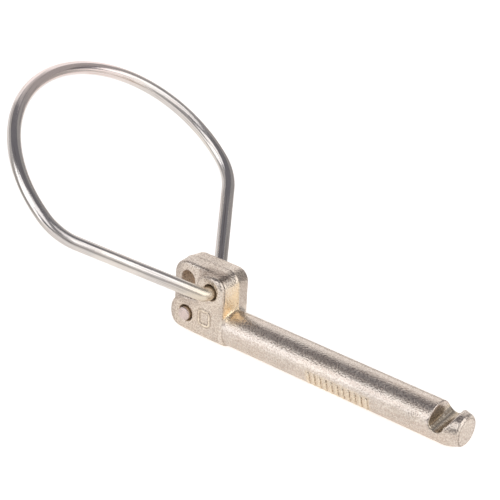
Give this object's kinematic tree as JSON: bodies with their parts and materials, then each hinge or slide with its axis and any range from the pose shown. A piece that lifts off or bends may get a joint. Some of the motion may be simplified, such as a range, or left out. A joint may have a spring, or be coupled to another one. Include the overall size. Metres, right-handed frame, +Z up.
{
  "type": "linch pin",
  "caption": "Linch pin with a round shank, a stepped flat head and a swinging wire bail that snaps over into a notch near the tip to keep the pin in its hole.",
  "frame": {"origin": "on the shank's axis, level with the head's shoulder face", "axes": "+X along the shank from the shoulder to the tip, +Z up, +Y along the head's holes; the rest pose stands on the shank and the head's lower edge"},
  "size_m": [0.1675, 0.0892, 0.0732],
  "materials": {
    "forging": "shot-blasted and plated, satin",
    "wire": "bright drawn spring wire"
  },
  "bodies": {
    "pin": {"pin_body": "forging"},
    "bail": {"bail": "wire"}
  },
  "joints": [
    {"name": "bail_swing", "type": "hinge", "parent": "pin", "child": "bail", "pos_m": [-0.00952, 0, 0.0072], "axis": [0, 1, 0], "range_deg": [0, 142.76], "deforming": ["bail"]}
  ]
}
